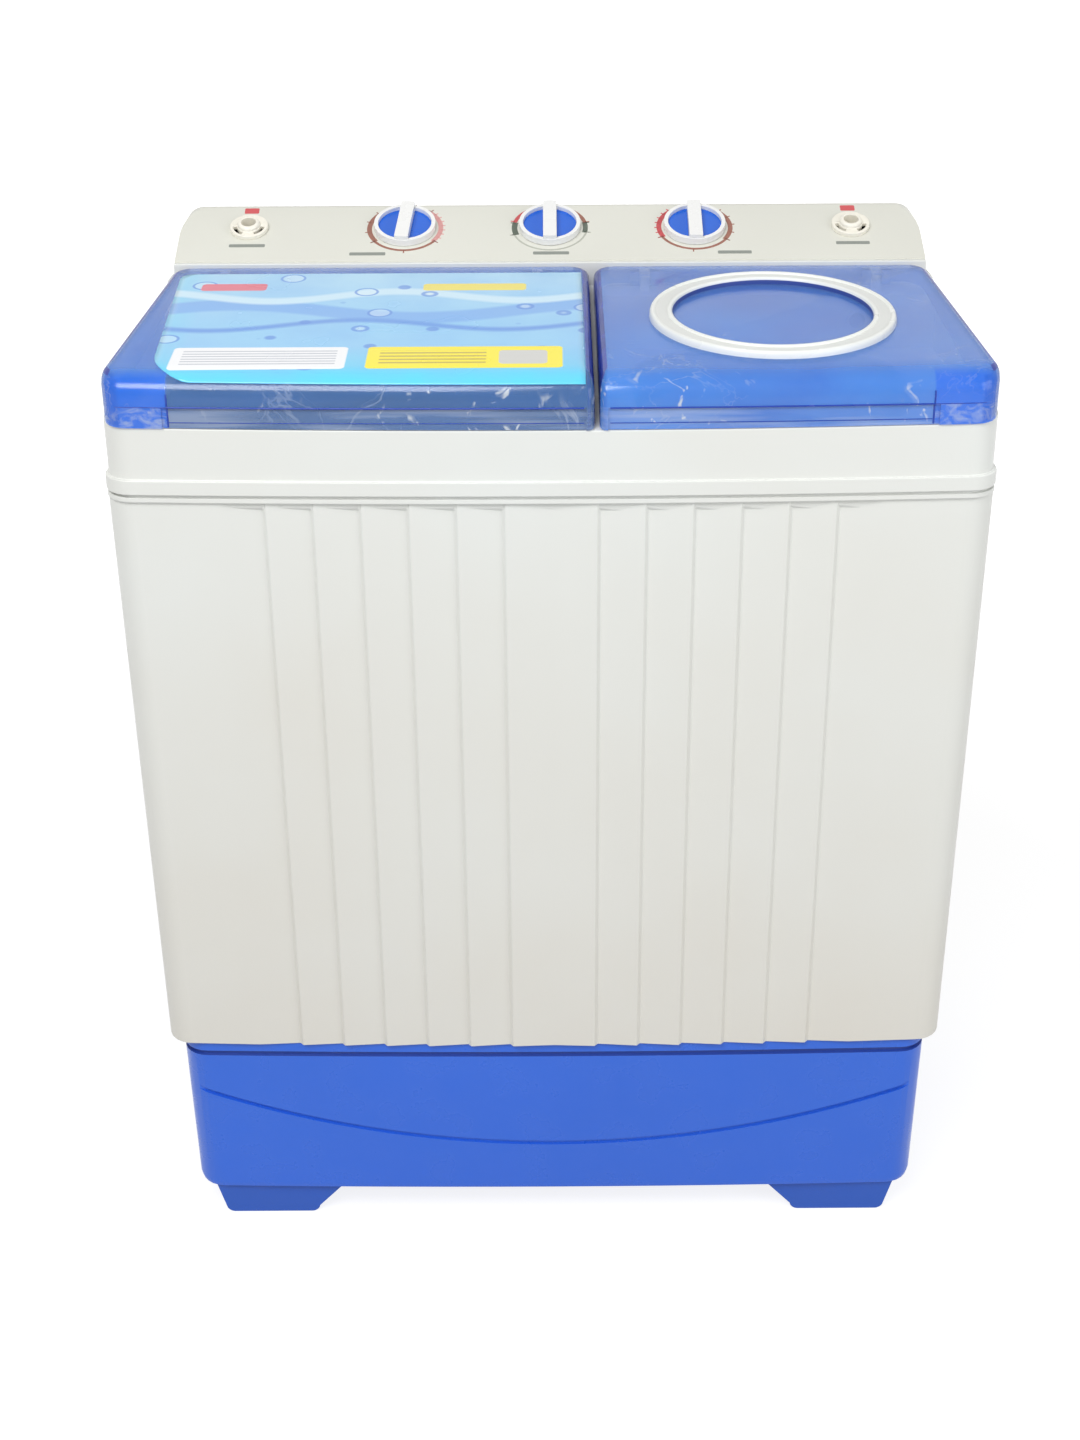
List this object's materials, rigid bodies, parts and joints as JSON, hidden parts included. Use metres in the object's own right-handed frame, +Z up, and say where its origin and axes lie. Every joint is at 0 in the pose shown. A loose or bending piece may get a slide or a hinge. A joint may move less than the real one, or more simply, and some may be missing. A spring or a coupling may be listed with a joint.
{
  "type": "twin tub washer",
  "caption": "Free-standing twin tub washing machine: a wash tub with pulsator beside a spin basket, hinged lids, rear dial panel, pleated cabinet on a footed base.",
  "frame": {"origin": "middle of the footprint, on the floor under the feet", "axes": "+Z up, +X to the right seen from the front, +Y from the front to the rear"},
  "size_m": [0.71, 0.38, 0.8834],
  "materials": {
    "shell_white": "gloss",
    "panel_grey": "satin",
    "base_blue": "gloss",
    "foot_blue": "satin",
    "lid_blue": "gloss, translucent",
    "knob_white": "gloss",
    "knob_blue": "gloss",
    "cream": "gloss",
    "timer_body": "matte",
    "tub_white": "satin",
    "steel": "brushed",
    "motor_iron": "satin",
    "cast_metal": "cast",
    "black_rubber": "matte"
  },
  "bodies": {
    "body": {"cabinet": "shell_white", "base_tray": "base_blue", "feet": "foot_blue", "top_frame": "shell_white", "control_panel": "panel_grey", "wash_lid_pins": "steel", "spin_lid_pins": "steel", "wash_timer": "timer_body", "drain_selector": "timer_body", "spin_timer": "timer_body", "wash_inlet": "cream", "spin_inlet": "cream", "wash_fill_pipe": "tub_white", "spin_fill_pipe": "tub_white", "wash_tub": "tub_white", "spin_tub": "tub_white", "shaft_seal": "black_rubber", "pulsator_bearing": "cast_metal", "drive_belt": "black_rubber", "wash_motor": "motor_iron", "motor_bracket": "steel", "overflow_cover": "tub_white", "spin_seal": "black_rubber", "spin_motor": "motor_iron", "spin_motor_plate": "steel", "motor_dampers": "black_rubber", "brake_bracket": "steel", "brake_cable": "black_rubber", "lid_switch": "timer_body", "drain_valve_box": "tub_white", "drain_pipe": "tub_white", "capacitor": "motor_iron", "back_panel": "shell_white", "back_screws": "steel", "cord_gland": "black_rubber"},
    "wash_lid": {"wash_lid": "lid_blue"},
    "spin_lid": {"spin_lid": "lid_blue", "spin_lid_ring": "shell_white"},
    "wash_timer_dial": {"wash_timer_knob": "knob_white", "wash_timer_inlay": "knob_blue", "wash_timer_shaft": "steel"},
    "drain_selector_dial": {"drain_selector_knob": "knob_white", "drain_selector_inlay": "knob_blue", "drain_selector_shaft": "steel"},
    "spin_timer_dial": {"spin_timer_knob": "knob_white", "spin_timer_inlay": "knob_blue", "spin_timer_shaft": "steel"},
    "pulsator": {"pulsator": "base_blue", "pulsator_bolt": "steel", "pulsator_shaft": "steel", "drive_pulley": "cast_metal"},
    "wash_motor_rotor": {"wash_motor_shaft": "steel", "motor_pulley": "cast_metal"},
    "basket": {"spin_basket": "tub_white", "basket_mat": "cream", "spin_shaft": "steel", "brake_drum": "cast_metal"},
    "brake_lever": {"brake_lever": "steel"},
    "drain_plunger": {"drain_plunger": "black_rubber"},
    "lint_filter": {"lint_filter": "cream"}
  },
  "joints": [
    {"name": "wash_lid_hinge", "type": "hinge", "parent": "body", "child": "wash_lid", "pos_m": [-0.155, 0.08, 0.83344], "axis": [-1, 0, 0], "range_deg": [0, 100]},
    {"name": "spin_lid_hinge", "type": "hinge", "parent": "body", "child": "spin_lid", "pos_m": [0.185, 0.08, 0.83344], "axis": [-1, 0, 0], "range_deg": [0, 100]},
    {"name": "wash_timer_turn", "type": "hinge", "parent": "body", "child": "wash_timer_dial", "pos_m": [-0.13, 0.1415, 0.86348], "axis": [0, 0.3746, -0.9272], "range_deg": [0, 300]},
    {"name": "drain_selector_turn", "type": "hinge", "parent": "body", "child": "drain_selector_dial", "pos_m": [0, 0.1415, 0.86348], "axis": [0, 0.3746, -0.9272], "range_deg": [0, 90]},
    {"name": "spin_timer_turn", "type": "hinge", "parent": "body", "child": "spin_timer_dial", "pos_m": [0.13, 0.1415, 0.86348], "axis": [0, 0.3746, -0.9272], "range_deg": [0, 270]},
    {"name": "pulsator_spin", "type": "hinge", "parent": "body", "child": "pulsator", "pos_m": [-0.152, -0.024, 0.338], "axis": [0, 0, 1], "continuous": true},
    {"name": "wash_motor_spin", "type": "hinge", "parent": "body", "child": "wash_motor_rotor", "pos_m": [-0.047, 0.056, 0.24], "axis": [0, 0, 1], "continuous": true},
    {"name": "basket_spin", "type": "hinge", "parent": "body", "child": "basket", "pos_m": [0.183, -0.031, 0.338], "axis": [0, 0, 1], "continuous": true},
    {"name": "brake_swing", "type": "hinge", "parent": "body", "child": "brake_lever", "pos_m": [0.25, 0.03, 0.2], "axis": [0, 0, -1], "range_deg": [0, 4.2]},
    {"name": "drain_lift", "type": "slide", "parent": "body", "child": "drain_plunger", "axis": [0, 0, 1], "range_m": [0, 0.012]},
    {"name": "lint_filter_slide", "type": "slide", "parent": "body", "child": "lint_filter", "axis": [0, 0, 1], "range_m": [0, 0.04]}
  ],
  "couplings": [
    {"joint": "wash_motor_spin", "follows": "pulsator_spin", "ratio": 2.6786},
    {"joint": "brake_swing", "follows": "spin_lid_hinge", "ratio": 0.042},
    {"joint": "drain_lift", "follows": "drain_selector_turn", "m_per_rad": 0.0076394}
  ]
}
